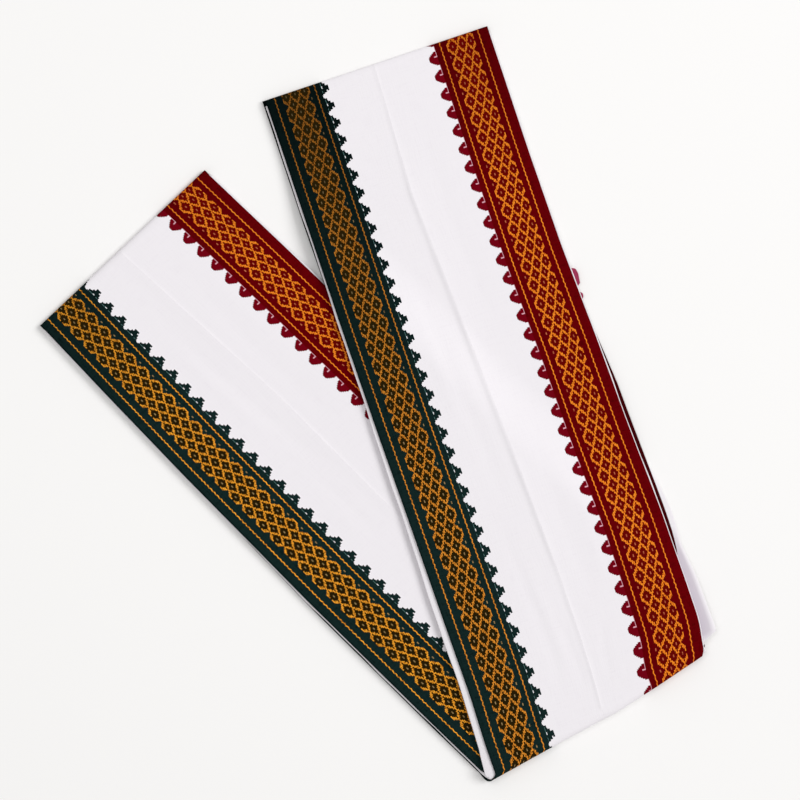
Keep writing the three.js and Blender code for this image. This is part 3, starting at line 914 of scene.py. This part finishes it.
# The maroon selvedge of a return panel shows between the upper leg's two right folds, and higher
# up two of its teeth do. Reach is past the face's edge.
TUCKED = table("along reach", [
    (0.138, 0.4), (0.150, 1.8), (0.165, 2.7), (0.180, 3.2), (0.250, 3.6), (0.365, 3.6),
    (0.420, 3.4), (0.507, 1.0), (0.530, 0.0), (0.558, 0.0), (0.562, 2.2), (0.568, 2.4),
    (0.571, 0.2), (0.579, 0.2), (0.583, 3.4), (0.598, 4.6), (0.606, 4.0), (0.611, 0.0),
])
TEETH_PAST = 0.545
TUCKED_WIDTH = 7.8       # how far it goes in between the folds
TUCKED_STEPS = (238, 5)  # points along it and across it


def tucked_selvedge():
    """A narrow strip of the return panel's maroon border."""
    steps_along, steps_across = TUCKED_STEPS
    alongs = np.linspace(TUCKED["along"][0], TUCKED["along"][-1], steps_along)
    shares = np.linspace(0, 1, steps_across)
    grid = bmesh.new()
    bmesh.ops.create_grid(grid, x_segments=len(alongs) - 1, y_segments=len(shares) - 1, size=1.0)
    cloth = grid.loops.layers.uv.new("cloth")
    left, _, right = UPPER.lines(alongs)
    across = unit(right - left)
    level = rest_height(UPPER, right) + PANEL + GAP + HIDDEN_PILE / 2
    reach = np.interp(alongs, TUCKED["along"], TUCKED["reach"])
    for face in grid.faces:
        middle = (face.calc_center_median().x + 1) / 2 * (len(alongs) - 1)
        face.material_index = int(np.interp(middle, range(len(alongs)), alongs) > TEETH_PAST)
        face.smooth = True
    for vertex in grid.verts:
        i = round((vertex.co.x + 1) / 2 * (len(alongs) - 1))
        share = shares[round((vertex.co.y + 1) / 2 * (len(shares) - 1))]
        out = -TUCKED_WIDTH + (reach[i] + TUCKED_WIDTH) * share
        flat = right[i] + across[i] * out
        for loop in vertex.link_loops:
            loop[cloth].uv = (alongs[i] * UPPER.length * MM, out * MM)
        vertex.co = (flat[0] * MM, flat[1] * MM, level[i] * MM)
    grid.normal_update()
    if sum(face.normal.z for face in grid.faces) < 0:
        bmesh.ops.reverse_faces(grid, faces=grid.faces[:])
    # The strip's maroon is painted darker than the border's ground: painted shade in the gap
    # between the folds.
    shaded = plain_finish("shaded_maroon", (0.045, 0.0002, 0.001))
    seen_through = plain_finish("tooth_under_cotton", (0.34, 0.04, 0.095))
    return finished(grid, "tucked_selvedge", [shaded, seen_through])


pile = hidden_layers()
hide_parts("upper_hidden_layers", "lower_hidden_layers", "fold_hidden_layers",
            "fold_inner_panels")
strip = tucked_selvedge()

# ---- Surface, light and camera ------------------------------------------------------------------

VIEW_MM = 800 / 1.3               # what the view takes in, 800 points at 1.3 a millimetre
CENTRE = Vector((17.3, 2.4, 0)) * MM
LENS, SENSOR = 120.0, 36.0
EYE_ABOVE = 6.0                   # height at which the view's scale is true
SURFACE_BELOW = 0.2               # air between the cloth and the surface
WORLD_LIGHT = 0.495


def surface():
    grid = bmesh.new()
    bmesh.ops.create_grid(grid, x_segments=1, y_segments=1, size=3.0)
    mesh = bpy.data.meshes.new("surface")
    grid.to_mesh(mesh)
    grid.free()
    floor = bpy.data.objects.new("surface", mesh)
    bpy.context.scene.collection.objects.link(floor)
    floor.location.z = -SURFACE_BELOW * MM
    material = bpy.data.materials.new("pale_surface")
    material.use_nodes = True
    shader = material.node_tree.nodes["Principled BSDF"]
    shader.inputs["Base Color"].default_value = (0.93, 0.92, 0.91, 1)
    shader.inputs["Roughness"].default_value = 0.9
    shader.inputs["Specular IOR Level"].default_value = 0.1
    mesh.materials.append(material)


def lamp(name, place, size, power):
    light = bpy.data.lights.new(name, "AREA")
    light.shape, light.size, light.energy = "DISK", size, power
    piece = bpy.data.objects.new(name, light)
    piece.location = place
    piece.rotation_euler = (CENTRE - Vector(place)).to_track_quat("-Z", "Y").to_euler()
    bpy.context.scene.collection.objects.link(piece)


def camera():
    data = bpy.data.cameras.new("camera")
    data.lens, data.sensor_width = LENS, SENSOR
    data.clip_start, data.clip_end = 0.1, 20
    height = VIEW_MM * MM * LENS / SENSOR + EYE_ABOVE * MM
    eye = bpy.data.objects.new("camera", data)
    eye.location = CENTRE + Vector((0, 0, height))
    bpy.context.scene.collection.objects.link(eye)
    bpy.context.scene.camera = eye


surface()
camera()
lamp("window", place=(4.5, 1.4, 4.3), size=3.4, power=240)
lamp("softbox", place=(-0.5, 0.3, 2.0), size=1.2, power=7.4)
world = bpy.data.worlds.new("studio")
world.use_nodes = True
background = world.node_tree.nodes["Background"]
background.inputs["Color"].default_value = (1, 1, 1, 1)
background.inputs["Strength"].default_value = WORLD_LIGHT
bpy.context.scene.world = world
bpy.context.scene.view_settings.view_transform = "Standard"
